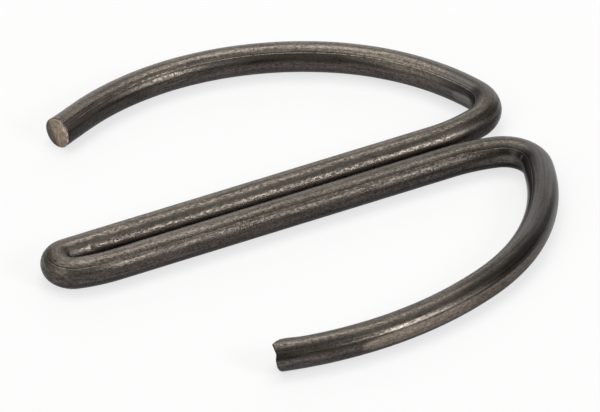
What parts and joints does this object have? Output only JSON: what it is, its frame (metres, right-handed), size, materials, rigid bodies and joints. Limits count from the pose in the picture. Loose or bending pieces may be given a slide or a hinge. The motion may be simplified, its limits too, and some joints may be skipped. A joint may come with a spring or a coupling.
{
  "type": "socket retaining ring",
  "caption": "One-piece bent spring-wire retaining ring: a folded pair of pin legs and open spring arms that snap into an impact socket's groove.",
  "frame": {"origin": "the socket's axis, where it crosses the middle plane of the wire", "axes": "+X along the legs from the fold to the bends, +Y towards the left arm, +Z along the socket's axis, up as the ring lies"},
  "size_m": [0.0547, 0.053, 0.0032],
  "materials": {
    "spring_wire": "drawn spring steel wire, darkened by tempering, with lengthwise draw lines, worn bright in places and bare at the sheared ends"
  },
  "bodies": {
    "root": {"retaining_ring": "spring_wire"}
  },
  "joints": []
}
